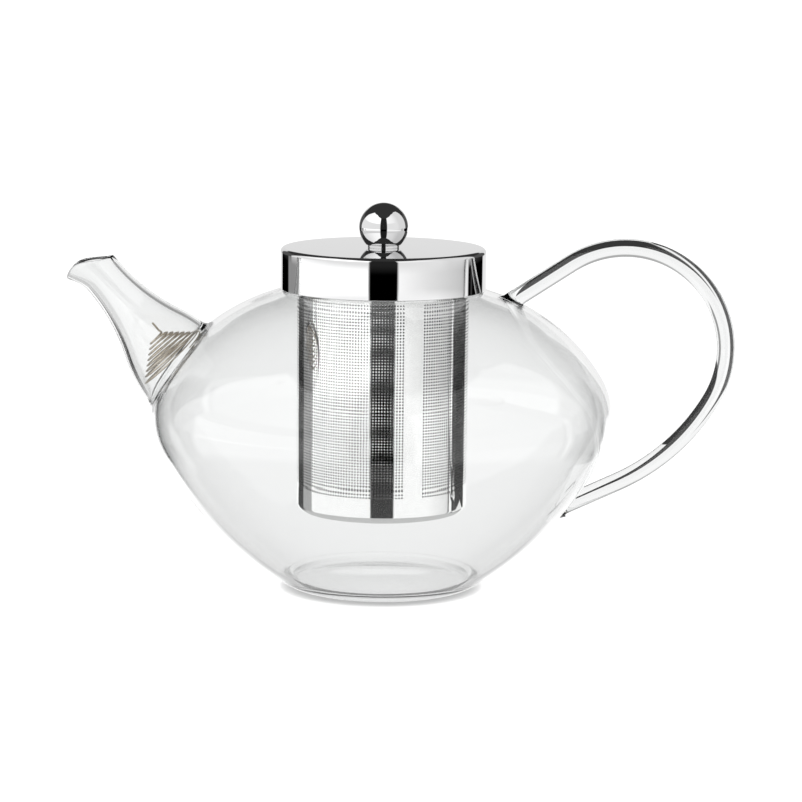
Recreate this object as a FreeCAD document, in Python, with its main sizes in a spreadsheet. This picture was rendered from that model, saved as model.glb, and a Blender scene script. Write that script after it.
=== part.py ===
"""A glass teapot with a steel infuser basket, a steel lid and a wire strainer in its spout.

The origin is the centre of the foot, on the table. Z is up, the spout points along -X and the
handle along +X. All sizes are in millimetres.
"""
import FreeCAD, Part
import math
import os
import re
import Sketcher
from FreeCAD import Placement, Rotation, Vector

SIZES = {
    # blown glass bowl: its outline leaves the flat foot and turns through four arcs up to the neck
    "foot_radius": 28.0,
    "foot_arc": 16.5,
    "foot_turn": 32.0,
    "flank_arc": 126.0,
    "flank_turn": 30.0,
    "waist_arc": 28.0,
    "waist_turn": 59.5,
    "shoulder_arc": 70.4,
    "shoulder_turn": 39.5,
    "neck_fillet": 1.5,
    "neck_radius": 35.2,
    "neck_seat": 110.3,
    "neck_top": 123.0,
    "bowl_wall": 2.2,
    # blown glass spout, narrowing along a straight slanted axis through two arcs to a slanted oval rim
    "spout_root_x": -69.2,
    "spout_root_z": 76.1,
    "spout_slant": 40.9,
    "spout_root_radius": 18.0,
    "spout_root_arc": 58.0,
    "spout_throat_arc": 69.0,
    "spout_taper_turn": 23.2,
    "spout_rim_reach": 56.3,
    "spout_rim_slant": 25.9,
    "spout_rim_length": 9.5,
    "spout_rim_width": 8.0,
    "spout_lip_drop": 1.2,
    "spout_wall": 1.9,
    # solid glass rod bent into the handle
    "handle_rod_radius": 3.3,
    "handle_crown_x": 88.5,
    "handle_crown_z": 89.0,
    "handle_crown_arc": 37.1,
    "handle_upper_slope": 33.0,
    "handle_crown_end": 30.0,
    "handle_lower_arc": 76.0,
    "handle_lower_slope": 24.5,
    "handle_upper_run": 26.0,
    "handle_lower_run": 16.0,
    # spiral wire strainer, a flat cone of touching turns
    "strainer_base_radius": 13.4,
    "strainer_pitch": 1.0,
    "strainer_turns": 9.5,
    "strainer_cone_angle": 50.0,
    "strainer_wire_radius": 0.42,
    "strainer_reach": 11.6,
    # photo-etched infuser basket hung in the neck
    "infuser_radius": 31.2,
    "infuser_wall": 0.4,
    "infuser_bottom": 29.0,
    "infuser_base_height": 4.0,
    "infuser_corner": 2.6,
    "infuser_rim_radius": 34.8,
    "infuser_rim_thickness": 0.8,
    # drawn steel lid with its inner cup
    "lid_radius": 37.5,
    "lid_wall": 0.6,
    "lid_top": 125.5,
    "lid_bottom": 110.4,
    "lid_edge_arc": 1.6,
    "cup_radius": 28.2,
    "cup_bottom": 113.0,
    "cup_wall": 0.5,
    "cup_flange_radius": 24.0,
    "seal_radius": 30.6,
    "seal_bottom": 116.0,
    "seal_height": 3.0,
    "seal_clearance": 0.05,
    # ball knob and its fixing
    "ball_radius": 9.0,
    "ball_centre": 132.9,
    "collar_radius": 5.75,
    "collar_height": 1.1,
    "screw_radius": 2.0,
    "screw_clearance": 0.05,
    "screw_tip": 134.0,
    "bore_top": 134.6,
    "washer_radius": 5.0,
    "washer_thickness": 0.8,
    "head_radius": 3.6,
    "head_height": 2.4,
}
AXIS = "axis"

doc = FreeCAD.newDocument("teapot")
sheet = doc.addObject("Spreadsheet::Sheet", "Sizes")


def fill_sheet():
    """Write every driving dimension into the sheet under its own name."""
    for row, (name, value) in enumerate(SIZES.items(), start=1):
        sheet.set(f"A{row}", name)
        sheet.set(f"B{row}", str(value))
        sheet.setAlias(f"B{row}", name)
    doc.recompute()


def size(name):
    """One driving dimension, read back from the sheet."""
    return float(sheet.get(name))


def from_sheet(text):
    """A formula of dimension names as an expression that reads them from the sheet."""
    return re.sub(r"[a-z][a-z_]+", lambda name: "Sizes." + name.group(), text)


def new_sketch(body, role):
    """An empty sketch on one of the body's own origin planes."""
    sketch = body.newObject("Sketcher::SketchObject", body.Label + "_sketch")
    plane = next(part for part in body.Origin.OriginFeatures if part.Role == role)
    sketch.AttachmentSupport = [(plane, "")]
    sketch.MapMode = "FlatFace"
    return sketch


def revolve(body, sketch):
    """The body's sketch turned once about the Z axis."""
    turned = body.newObject("PartDesign::Revolution", body.Label + "_turned")
    turned.Profile = sketch
    turned.ReferenceAxis = (sketch, ["V_Axis"])
    turned.Angle = 360.0
    doc.recompute()
    return turned


def turned_body(label, corners):
    """A solid of revolution from the (radius, height) corners of its half section."""
    body = doc.addObject("PartDesign::Body", label)
    sketch = new_sketch(body, "XZ_Plane")
    count = len(corners)
    spots = [Vector(5 + 10 * number, 3 + 7 * number ** 2, 0) for number in range(count)]
    for number in range(count):
        sketch.addGeometry(Part.LineSegment(spots[number], spots[(number + 1) % count]), False)
    for number in range(count):
        sketch.addConstraint(Sketcher.Constraint("Coincident", number, 2, (number + 1) % count, 1))
    for number, (radius, height) in enumerate(corners):
        rise = sketch.addConstraint(Sketcher.Constraint("DistanceY", -1, 1, number, 1, spots[number].y))
        sketch.setExpression(f"Constraints[{rise}]", from_sheet(height))
        if radius == AXIS:
            sketch.addConstraint(Sketcher.Constraint("PointOnObject", number, 1, -2))
        else:
            reach = sketch.addConstraint(Sketcher.Constraint("DistanceX", -1, 1, number, 1, spots[number].x))
            sketch.setExpression(f"Constraints[{reach}]", from_sheet(radius))
    doc.recompute()
    revolve(body, sketch)
    return body


def round_edge(body, radius, height, fillet_name):
    """Round the circular edge of the body's last feature that has this radius and height."""
    base = body.Tip
    for number, edge in enumerate(base.Shape.Edges, start=1):
        low, high = edge.BoundBox.ZMin, edge.BoundBox.ZMax
        if abs(low - height) < 0.01 and abs(high - height) < 0.01 and abs(edge.BoundBox.XMax - radius) < 0.01:
            fillet = body.newObject("PartDesign::Fillet", f"{body.Label}_round_{number}")
            fillet.Base = (base, [f"Edge{number}"])
            fillet.setExpression("Radius", from_sheet(fillet_name))
            body.Tip = fillet
            doc.recompute()
            return
    raise ValueError(f"{body.Label} has no edge at radius {radius} and height {height}")


def tangent_arcs(inset):
    """The bowl's outline from foot to neck, moved in by the inset, as (centre, radius, angles) arcs."""
    arcs = []
    point = Vector(size("foot_radius"), inset, 0)
    heading = 0.0
    for name in ("foot", "flank", "waist", "shoulder"):
        radius = size(name + "_arc") - inset
        turn = math.radians(size(name + "_turn"))
        centre = point + Vector(-math.sin(heading), math.cos(heading), 0) * radius
        arcs.append((centre, radius, heading - math.pi / 2, heading + turn - math.pi / 2))
        heading += turn
        point = centre + Vector(math.sin(heading), -math.cos(heading), 0) * radius
    return arcs, point, heading


def neck_fillet_arc(point, heading, inset):
    """The hollow arc that turns the shoulder up into the neck, and where it starts."""
    radius = size("neck_fillet") + inset
    start_x = size("neck_radius") - inset + radius * (1 - math.sin(heading))
    run = (point.x - start_x) / -math.cos(heading)
    start = point + Vector(math.cos(heading), math.sin(heading), 0) * run
    centre = start + Vector(math.sin(heading), -math.cos(heading), 0) * radius
    return start, (centre, radius, math.pi, math.pi / 2 + heading)


def glass_side(inset):
    """Edges of one face of the glass from the foot to the top of the neck."""
    arcs, shoulder_end, heading = tangent_arcs(inset)
    fillet_start, fillet = neck_fillet_arc(shoulder_end, heading, inset)
    neck_x = size("neck_radius") - inset
    neck_end = size("neck_top") - size("bowl_wall") / 2
    edges = [Part.ArcOfCircle(Part.Circle(arc[0], Vector(0, 0, 1), arc[1]), arc[2], arc[3]) for arc in arcs]
    edges.append(Part.LineSegment(shoulder_end, fillet_start))
    edges.append(Part.ArcOfCircle(Part.Circle(fillet[0], Vector(0, 0, 1), fillet[1]), fillet[2], fillet[3]))
    edges.append(Part.LineSegment(Vector(neck_x, fillet[0].y, 0), Vector(neck_x, neck_end, 0)))
    return edges


def bind_radii(sketch, first, inset_text):
    """Tie the radius of each arc of one face of the glass to its cell."""
    for number, name in enumerate(("foot_arc", "flank_arc", "waist_arc", "shoulder_arc")):
        arc = first + number
        radius = sketch.Geometry[arc].Radius
        constraint = sketch.addConstraint(Sketcher.Constraint("Radius", arc, radius))
        sketch.setExpression(f"Constraints[{constraint}]", from_sheet(name + inset_text))


def bowl_body(label, hollow):
    """The bowl and its neck, as a glass wall or as the solid that it encloses."""
    wall = size("bowl_wall")
    top = size("neck_top")
    outer = glass_side(0.0)
    foot = Part.LineSegment(Vector(0, 0, 0), Vector(size("foot_radius"), 0, 0))
    body = doc.addObject("PartDesign::Body", label)
    sketch = new_sketch(body, "XZ_Plane")
    if hollow:
        rim_centre = Vector(size("neck_radius") - wall / 2, top - wall / 2, 0)
        rim = Part.ArcOfCircle(Part.Circle(rim_centre, Vector(0, 0, 1), wall / 2), 0, math.pi)
        floor = Part.LineSegment(Vector(size("foot_radius"), wall, 0), Vector(0, wall, 0))
        axis = Part.LineSegment(Vector(0, wall, 0), Vector(0, 0, 0))
        edges = [foot] + outer + [rim] + glass_side(wall) + [floor, axis]
    else:
        neck_end = outer[-1].EndPoint
        lid = Part.LineSegment(neck_end, Vector(0, neck_end.y, 0))
        axis = Part.LineSegment(Vector(0, neck_end.y, 0), Vector(0, 0, 0))
        edges = [foot] + outer + [lid, axis]
    sketch.addGeometry(edges, False)
    reach = sketch.addConstraint(Sketcher.Constraint("Distance", 0, size("foot_radius")))
    sketch.setExpression(f"Constraints[{reach}]", from_sheet("foot_radius"))
    bind_radii(sketch, 1, "")
    if hollow:
        bind_radii(sketch, 2 + len(outer), " - bowl_wall")
    doc.recompute()
    revolve(body, sketch)
    return body


def about_y(degrees):
    """A rotation that leans the Z axis towards -X."""
    return Rotation(Vector(0, 1, 0), -degrees)


def spout_place(reach):
    """The spot at this distance along the spout's slanted axis, leaning with it."""
    lean = about_y(size("spout_slant"))
    root = Vector(size("spout_root_x"), 0, size("spout_root_z"))
    return Placement(root + lean.multVec(Vector(0, 0, reach)), lean)


def spout_taper(body, inset):
    """The spout's round part: a swelling root arc, then a hollow throat arc, turned about its axis."""
    turn = math.radians(size("spout_taper_turn"))
    root_arc = size("spout_root_arc") - inset
    throat_arc = size("spout_throat_arc") + inset
    root_centre = Vector(size("spout_root_radius") - inset - root_arc, 0, 0)
    throat_centre = root_centre + Vector(math.cos(turn), math.sin(turn), 0) * (root_arc + throat_arc)
    throat = throat_centre - Vector(throat_arc, 0, 0)
    sketch = new_sketch(body, "XZ_Plane")
    sketch.addGeometry([
        Part.ArcOfCircle(Part.Circle(root_centre, Vector(0, 0, 1), root_arc), 0, turn),
        Part.ArcOfCircle(Part.Circle(throat_centre, Vector(0, 0, 1), throat_arc), math.pi, math.pi + turn),
        Part.LineSegment(throat, Vector(0, throat.y, 0)),
        Part.LineSegment(Vector(0, throat.y, 0), Vector(0, 0, 0)),
        Part.LineSegment(Vector(0, 0, 0), Vector(root_centre.x + root_arc, 0, 0)),
    ], False)
    revolve(body, sketch)
    return throat


def spout_lip(body, throat, inset):
    """The last stretch, from the round throat to the slanted oval rim."""
    ring = new_sketch(body, "XY_Plane")
    ring.AttachmentOffset = Placement(Vector(0, 0, throat.y), Rotation())
    ring.addGeometry(Part.Circle(Vector(0, 0, 0), Vector(0, 0, 1), throat.x), False)
    rim = new_sketch(body, "XY_Plane")
    rim_centre = Vector(-size("spout_lip_drop"), 0, size("spout_rim_reach"))
    rim.AttachmentOffset = Placement(rim_centre, about_y(size("spout_rim_slant") - size("spout_slant")))
    long_half = size("spout_rim_length") - inset
    short_half = size("spout_rim_width") - inset
    rim.addGeometry(Part.Ellipse(Vector(0, 0, 0), long_half, short_half), False)
    doc.recompute()
    lip = body.newObject("PartDesign::AdditiveLoft", body.Label + "_lip")
    lip.Profile = ring
    lip.Sections = [rim]
    doc.recompute()


def spout_body(label, inset):
    """The spout's outside, or its bore when moved in by the wall."""
    body = doc.addObject("PartDesign::Body", label)
    throat = spout_taper(body, inset)
    spout_lip(body, throat, inset)
    body.Placement = spout_place(0.0)
    doc.recompute()
    return body


def cut(label, base, tool):
    """The base shape without the tool's."""
    result = doc.addObject("Part::Cut", label)
    result.Base = base
    result.Tool = tool
    doc.recompute()
    return result


def neck_space():
    """A plain drum that holds the straight neck and nothing else of the glass."""
    drum = doc.addObject("Part::Cylinder", "neck_space")
    drum.setExpression("Radius", from_sheet("neck_radius + neck_fillet"))
    drum.setExpression("Height", from_sheet("neck_top - neck_seat + bowl_wall"))
    drum.setExpression("Placement.Base.z", from_sheet("neck_seat"))
    return drum


def glass_parts():
    """The bowl with its spout hole, the neck, the spout and the handle, meeting face to face."""
    solid = bowl_body("bowl_solid", False)
    wall = bowl_body("bowl_wall_body", True)
    bore = spout_body("spout_bore", size("spout_wall"))
    outside = spout_body("spout_outside", 0.0)
    drum = neck_space()
    neck = doc.addObject("Part::Common", "glass_neck")
    neck.Base = wall
    neck.Tool = drum
    doc.recompute()
    bowl = cut("glass_bowl", cut("bowl_below_neck", wall, drum), bore)
    spout = cut("glass_spout", cut("spout_tube", outside, bore), solid)
    handle = cut("glass_handle", handle_rod(), solid)
    return [bowl, neck, spout, handle]


def handle_rod():
    """A round rod along two straight runs and the two arcs between them."""
    crown_arc = size("handle_crown_arc")
    lower_arc = size("handle_lower_arc")
    crown = Vector(size("handle_crown_x"), size("handle_crown_z"), 0)
    first = math.radians(90 + size("handle_upper_slope"))
    last = -math.radians(size("handle_crown_end"))
    outward = Vector(math.cos(last), math.sin(last), 0)
    lower_centre = crown + outward * (crown_arc - lower_arc)
    end = -math.radians(90 - size("handle_lower_slope"))
    upper_joint = crown + Vector(math.cos(first), math.sin(first), 0) * crown_arc
    upper_end = upper_joint - Vector(math.sin(first), -math.cos(first), 0) * size("handle_upper_run")
    lower_joint = lower_centre + Vector(math.cos(end), math.sin(end), 0) * lower_arc
    lower_end = lower_joint + Vector(math.sin(end), -math.cos(end), 0) * size("handle_lower_run")
    body = doc.addObject("PartDesign::Body", "handle_rod")
    spine = new_sketch(body, "XZ_Plane")
    spine.addGeometry([
        Part.LineSegment(upper_end, upper_joint),
        Part.ArcOfCircle(Part.Circle(crown, Vector(0, 0, 1), crown_arc), last, first),
        Part.ArcOfCircle(Part.Circle(lower_centre, Vector(0, 0, 1), lower_arc), end, last),
        Part.LineSegment(lower_joint, lower_end),
    ], False)
    for arc, name in ((1, "handle_crown_arc"), (2, "handle_lower_arc")):
        constraint = spine.addConstraint(Sketcher.Constraint("Radius", arc, size(name)))
        spine.setExpression(f"Constraints[{constraint}]", from_sheet(name))
    section = new_sketch(body, "XY_Plane")
    section.addGeometry(Part.Circle(Vector(0, 0, 0), Vector(0, 0, 1), size("handle_rod_radius")), False)
    thickness = section.addConstraint(Sketcher.Constraint("Radius", 0, size("handle_rod_radius")))
    section.setExpression(f"Constraints[{thickness}]", from_sheet("handle_rod_radius"))
    lean = size("handle_upper_slope") - 90
    section.AttachmentOffset = Placement(Vector(upper_end.x, 0, upper_end.y), about_y(lean))
    doc.recompute()
    rod = body.newObject("PartDesign::AdditivePipe", "handle_pipe")
    rod.Profile = section
    rod.Spine = spine
    doc.recompute()
    return body


def spout_strainer():
    """A wire wound into a flat cone, its wide turn against the spout's root."""
    spiral = doc.addObject("Part::Helix", "strainer_spiral")
    spiral.setExpression("Pitch", from_sheet("strainer_pitch"))
    spiral.setExpression("Height", from_sheet("strainer_pitch * strainer_turns"))
    spiral.setExpression("Radius", from_sheet("strainer_base_radius"))
    spiral.setExpression("Angle", "-1 * " + from_sheet("strainer_cone_angle"))
    wire = doc.addObject("Part::Circle", "strainer_wire")
    wire.setExpression("Radius", from_sheet("strainer_wire_radius"))
    wire.Placement = Placement(Vector(size("strainer_base_radius"), 0, 0), Rotation(Vector(1, 0, 0), 90))
    strainer = doc.addObject("Part::Sweep", "spout_strainer")
    strainer.Sections = [wire]
    strainer.Spine = (spiral, [])
    strainer.Solid = True
    strainer.Frenet = True
    strainer.Placement = spout_place(size("strainer_reach"))
    doc.recompute()
    return strainer


def infuser_parts():
    """The etched wall, the pressed base and the rim that hangs the basket on the glass."""
    wall = turned_body("infuser_wall", [
        ("infuser_radius - infuser_wall", "infuser_bottom + infuser_base_height"),
        ("infuser_radius", "infuser_bottom + infuser_base_height"),
        ("infuser_radius", "neck_top"),
        ("infuser_radius - infuser_wall", "neck_top"),
    ])
    base = turned_body("infuser_base", [
        (AXIS, "infuser_bottom"),
        ("infuser_radius", "infuser_bottom"),
        ("infuser_radius", "infuser_bottom + infuser_base_height"),
        ("infuser_radius - infuser_wall", "infuser_bottom + infuser_base_height"),
        ("infuser_radius - infuser_wall", "infuser_bottom + infuser_wall"),
        (AXIS, "infuser_bottom + infuser_wall"),
    ])
    floor = size("infuser_bottom")
    radius = size("infuser_radius")
    thickness = size("infuser_wall")
    round_edge(base, radius, floor, "infuser_corner")
    round_edge(base, radius - thickness, floor + thickness, "infuser_corner - infuser_wall")
    rim = turned_body("infuser_rim", [
        ("infuser_radius - infuser_wall", "neck_top"),
        ("infuser_rim_radius", "neck_top"),
        ("infuser_rim_radius", "neck_top + infuser_rim_thickness"),
        ("infuser_radius - infuser_wall", "neck_top + infuser_rim_thickness"),
    ])
    return [wall, base, rim]


def lid_parts():
    """The drawn shell, the cup under it and the silicone ring round the cup."""
    shell = turned_body("lid_shell", [
        ("screw_radius + screw_clearance", "lid_top - lid_wall"),
        ("lid_radius - lid_wall", "lid_top - lid_wall"),
        ("lid_radius - lid_wall", "lid_bottom"),
        ("lid_radius", "lid_bottom"),
        ("lid_radius", "lid_top"),
        ("screw_radius + screw_clearance", "lid_top"),
    ])
    radius = size("lid_radius")
    thickness = size("lid_wall")
    round_edge(shell, radius, size("lid_top"), "lid_edge_arc")
    round_edge(shell, radius - thickness, size("lid_top") - thickness, "lid_edge_arc - lid_wall")
    cup = turned_body("lid_cup", [
        (AXIS, "cup_bottom"),
        ("cup_radius", "cup_bottom"),
        ("cup_radius", "lid_top - lid_wall"),
        ("cup_flange_radius", "lid_top - lid_wall"),
        ("cup_flange_radius", "lid_top - lid_wall - cup_wall"),
        ("cup_radius - cup_wall", "lid_top - lid_wall - cup_wall"),
        ("cup_radius - cup_wall", "cup_bottom + cup_wall"),
        (AXIS, "cup_bottom + cup_wall"),
    ])
    seal = turned_body("lid_seal", [
        ("cup_radius + seal_clearance", "seal_bottom"),
        ("seal_radius", "seal_bottom + seal_height / 3"),
        ("seal_radius", "seal_bottom + seal_height * 2 / 3"),
        ("cup_radius + seal_clearance", "seal_bottom + seal_height"),
    ])
    return [shell, cup, seal]


def knob_parts():
    """The ball on its collar, held from below by a screw and a washer."""
    collar = turned_body("knob_collar", [
        ("screw_radius + screw_clearance", "lid_top"),
        ("collar_radius", "lid_top"),
        ("collar_radius", "lid_top + collar_height"),
        ("screw_radius + screw_clearance", "lid_top + collar_height"),
    ])
    washer = turned_body("knob_washer", [
        ("screw_radius + screw_clearance", "lid_top - lid_wall - washer_thickness"),
        ("washer_radius", "lid_top - lid_wall - washer_thickness"),
        ("washer_radius", "lid_top - lid_wall"),
        ("screw_radius + screw_clearance", "lid_top - lid_wall"),
    ])
    screw = turned_body("knob_screw", [
        (AXIS, "lid_top - lid_wall - washer_thickness - head_height"),
        ("head_radius", "lid_top - lid_wall - washer_thickness - head_height"),
        ("head_radius", "lid_top - lid_wall - washer_thickness"),
        ("screw_radius", "lid_top - lid_wall - washer_thickness"),
        ("screw_radius", "screw_tip"),
        (AXIS, "screw_tip"),
    ])
    return [knob_ball(), collar, washer, screw]


def knob_ball():
    """A ball with a flat seat and a blind bore for the screw."""
    sphere = doc.addObject("Part::Sphere", "ball_sphere")
    sphere.setExpression("Radius", from_sheet("ball_radius"))
    sphere.setExpression("Placement.Base.z", from_sheet("ball_centre"))
    foot = doc.addObject("Part::Cylinder", "ball_foot")
    foot.setExpression("Radius", from_sheet("ball_radius"))
    foot.setExpression("Height", from_sheet("ball_radius"))
    foot.setExpression("Placement.Base.z", from_sheet("lid_top + collar_height - ball_radius"))
    bore = doc.addObject("Part::Cylinder", "ball_bore")
    bore.setExpression("Radius", from_sheet("screw_radius + screw_clearance"))
    bore.setExpression("Height", from_sheet("bore_top - lid_top"))
    bore.setExpression("Placement.Base.z", from_sheet("lid_top"))
    seated = cut("ball_seated", sphere, foot)
    return cut("knob_ball", seated, bore)


def check(subparts):
    """Stop unless every object computed and every sub-part is a sound closed shape."""
    doc.recompute()
    for item in doc.Objects:
        if "Invalid" in item.State or "Error" in item.State:
            raise RuntimeError(f"{item.Name} failed: {item.State}")
    for part in subparts:
        if part.Shape.isNull() or not part.Shape.isValid() or not part.Shape.Solids:
            raise RuntimeError(f"{part.Label} has no sound shape")


def export(subparts):
    """Write each sub-part to its own file."""
    os.makedirs("parts", exist_ok=True)
    for part in subparts:
        part.Shape.exportStep(f"parts/{part.Label}.step")
        box = part.Shape.BoundBox
        print(f"{part.Label}: {len(part.Shape.Solids)} solid, {part.Shape.Volume:.0f} mm3, "
              f"z {box.ZMin:.1f} to {box.ZMax:.1f}")


fill_sheet()
subparts = glass_parts() + [spout_strainer()] + infuser_parts() + lid_parts() + knob_parts()
check(subparts)
export(subparts)
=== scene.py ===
"""A clear glass infuser teapot on a white table, in soft white studio light.

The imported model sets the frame: metres, the origin at the centre of the foot, Z up, the spout
along -X and the handle along +X. Shapes are worked out in millimetres and scaled once, in new_piece.
"""

import bpy
import math
import numpy as np
from mathutils import Matrix, Vector
from mathutils.geometry import delaunay_2d_cdt


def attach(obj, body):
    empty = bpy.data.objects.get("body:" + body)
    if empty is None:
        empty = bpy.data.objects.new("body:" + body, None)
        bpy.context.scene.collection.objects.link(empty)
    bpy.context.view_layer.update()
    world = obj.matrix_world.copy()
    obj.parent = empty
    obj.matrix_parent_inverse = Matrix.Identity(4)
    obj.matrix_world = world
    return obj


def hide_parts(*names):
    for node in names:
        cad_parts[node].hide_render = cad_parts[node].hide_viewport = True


MM = 0.001

# blown glass: the outline's four arcs as (radius, turn in degrees), from the foot up to the neck
BOWL_ARCS = ((16.5, 32.0), (126.0, 30.0), (28.0, 59.5), (70.4, 39.5))
FOOT_RADIUS = 28.0
FOOT_HUB = 0.4
FOOT_ROWS = 15
FOOT_PUSH = 0.8
HEEL_RIDGE = 1.7
HEEL_RIDGE_RADIUS = 33.6
HEEL_RIDGE_WIDTH = 1.3
HEEL_TOP = 15.0
NECK_FILLET = 1.5
NECK_RADIUS = 35.2
NECK_TOP = 123.0
BOWL_WALL = 2.2
BOWL_COLUMNS = 256
ROW_SPACING = 1.4
# how the bowl's grid is opened round a branch: columns and millimetres beyond it, and clear of it
RING_COLUMNS = 2
RING_MARGIN = 4
RING_CLEARANCE = 0.5
HALVINGS = 50

SPOUT_ROOT = np.array([-69.2, 0.0, 76.1])
SPOUT_SLANT = 40.9
SPOUT_ROOT_RADIUS = 18.0
SPOUT_ROOT_ARC = 58.0
SPOUT_THROAT_ARC = 69.0
SPOUT_ROOT_SPAN = (-6.0, 34.0)
# melted root outside and inside: how far it spreads on the bowl and climbs the spout
SPOUT_FILLETS = ((2.3, 2.8), (1.1, 1.3))
SPOUT_TAPER_TURN = 23.2
SPOUT_RIM_REACH = 56.3
SPOUT_LIP_DROP = 1.2
SPOUT_RIM_SLANT = 25.9
SPOUT_LIP_ARCH = 2.0
SPOUT_LIP_SKEW = 1.1
# the rim's outer and inner edge: half length, half width and lift of the drooping end
SPOUT_EDGES = ((9.5, 7.8, 0.0), (7.9, 6.0, 1.1))
SPOUT_WALL = 1.9
SPOUT_COLUMNS = 96
SPOUT_FILLET_ROWS = 7
SPOUT_ROWS = 33
LIP_ROWS = 12
LIP_EDGE_ROWS = 6

HANDLE_RADIUS = 3.3
HANDLE_CROWN = np.array([88.5, 0.0, 89.0])
HANDLE_CROWN_ARC = 37.1
HANDLE_UPPER_SLOPE = 33.0
HANDLE_CROWN_END = 30.0
HANDLE_LOWER_ARC = 76.0
HANDLE_LOWER_SLOPE = 24.5
HANDLE_UPPER_RUN = 26.0
HANDLE_LOWER_RUN = 16.0
HANDLE_ROOT_SPAN = (-6.0, 14.0)
HANDLE_FILLET = (1.0, 1.4)
HANDLE_FILLET_ROWS = 5
HANDLE_RUN_ROWS = 10
HANDLE_COLUMNS = 32

# the wire strainer's flat cone of turns
WIRE_RADIUS = 0.36
WIRE_REACH = 11.6
WIRE_BASE = 13.4
WIRE_PITCH = 1.3
WIRE_TURNS = 7.0
WIRE_CONE_ANGLE = 50.0
WIRE_STEPS = 36
# the anchoring turn outside the cone, and the bend and length of the straight tail
ANCHOR_TURNS = 1.15
ANCHOR_PITCH = 2.2
ANCHOR_FLARE = 0.9
TAIL_BEND = (1.2, -0.3)
TAIL_LENGTH = 3.6

# the infuser's etched sheet
SHEET_RADIUS = 31.2
SHEET_WALL = 0.4
HOLE_RADIUS = 0.34
HOLE_PITCH = 1.08
HOLE_ROWS = 77
HOLE_COLUMNS = 176
HOLES_FROM = 38.06
SEAM_ANGLE = -68.6
SEAM_WIDTH = 12.8
SEAM_STEPS = 6
SHEET_SECTORS = 4
SECTOR_HOLES = HOLE_COLUMNS // SHEET_SECTORS
HOLE_STEP = math.radians((360.0 - SEAM_WIDTH) / HOLE_COLUMNS)
HOLE_CORNERS = 8
PAN_BOTTOM = 29.0
PAN_CORNER = 2.6
FLANGE_RADIUS = 34.8
FLANGE_WALL = 0.8

LID_RADIUS = 37.5
LID_TOP = 125.5
LID_BOTTOM = 110.4
LID_EDGE = 1.6
LID_WALL = 0.6
CUP_RADIUS = 28.2
CUP_WALL = 0.5
CUP_BOTTOM = 113.0
CUP_MOUTH = 24.0
SEAL_RADIUS = 30.6
# the seal's heights: its lower root, the two edges of its lip and its upper root
SEAL_LEVELS = (116.0, 117.0, 118.0, 119.0)
SEAL_CLEARANCE = 0.05

BALL_RADIUS = 9.0
BALL_CENTRE = 132.9
BALL_BORE_TOP = 134.6
COLLAR_RADIUS = 5.75
COLLAR_HEIGHT = 1.1
BORE_RADIUS = 2.05
SCREW_RADIUS = 2.0
SCREW_TOP = 134.0
HEAD_RADIUS = 3.6
HEAD_HEIGHT = 2.4
WASHER_RADIUS = 5.0
WASHER_WALL = 0.8
TURNED_COLUMNS = 256
SMALL_COLUMNS = 96
HUB_RADIUS = 0.02
SHARP_FROM = 32.0

# studio, as (azimuth in degrees, value) stops round the pot: 0 at the camera, 90 at the handle
# brightness below and above the horizon, and the height in degrees that the softboxes reach
LOW_SURROUND = (
    (-180.0, 0.95), (-156.0, 0.95), (-155.0, 0.0), (-133.0, 0.0), (-131.0, 0.33), (-109.0, 0.33),
    (-105.0, 1.7), (-17.0, 1.7), (-15.0, 0.0), (15.5, 0.0), (18.0, 1.25), (50.0, 1.0),
    (98.0, 0.72), (102.0, 0.6), (103.0, 0.0), (104.5, 0.0), (105.5, 1.1), (109.5, 1.1),
    (110.5, 0.0), (115.0, 0.0), (117.0, 0.08), (119.0, 0.0), (147.0, 0.0), (149.0, 0.95),
    (180.0, 0.95),
)
HIGH_SURROUND = (
    (-180.0, 0.82), (-156.0, 0.82), (-155.0, 0.045), (-125.0, 0.045), (-123.5, 1.2), (-90.0, 1.3),
    (-50.0, 1.6), (-17.0, 1.7), (-15.0, 0.02), (15.5, 0.02), (18.0, 1.25), (50.0, 1.15),
    (80.0, 0.9), (121.0, 0.9), (123.0, 0.02), (155.0, 0.02), (156.0, 0.82), (180.0, 0.82),
)
LIGHT_TOPS = (
    (-180.0, 20.0), (-156.0, 20.0), (-125.0, 0.0), (-119.0, 15.0), (-110.0, 37.0), (-91.0, 59.0),
    (-50.0, 58.0), (-17.0, 46.0), (16.0, 47.0), (60.0, 59.0), (100.0, 58.0), (117.0, 50.0),
    (123.0, 27.0), (156.0, 20.0), (180.0, 20.0),
)
# how dark the gaps are that clear glass bends into view: round the backdrop, and low down
GAPS_BEHIND = (
    (-180.0, 0.0), (-167.0, 0.0), (-165.0, 1.0), (-139.0, 1.0), (-137.0, 0.0), (136.0, 0.0),
    (138.0, 0.75), (150.0, 0.75), (153.0, 0.0), (180.0, 0.0),
)
LOW_GAP = ((-180.0, 1.0), (-175.0, 1.0), (-173.0, 0.0), (99.0, 0.0), (101.0, 1.0), (180.0, 1.0))

# heights in degrees above the level of the pot, and how many degrees a change takes
LOW_GAP_BELOW = -13.0
HORIZON = -6.2
HORIZON_IN_GLASS = 9.0
BRIGHT_BELOW = -7.7
GREY_BELOW = -20.0
GREY_FADE = 8.0
EVEN_BELOW = 22.0
EVEN_FADE = 3.0
GAP_MIDDLE = -20.0
GAP_REACH = 27.0
CEILING_FROM = 24.0
CEILING_FADE = 8.0
FLOOR_GAP_BELOW = -45.0
FLOOR_GAP_FADE = 6.0
HIGHEST_TOP = 90.0
# the dark gap at the camera reaches this far to each side, in degrees of azimuth
FRONT_GAP = 17.0

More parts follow.
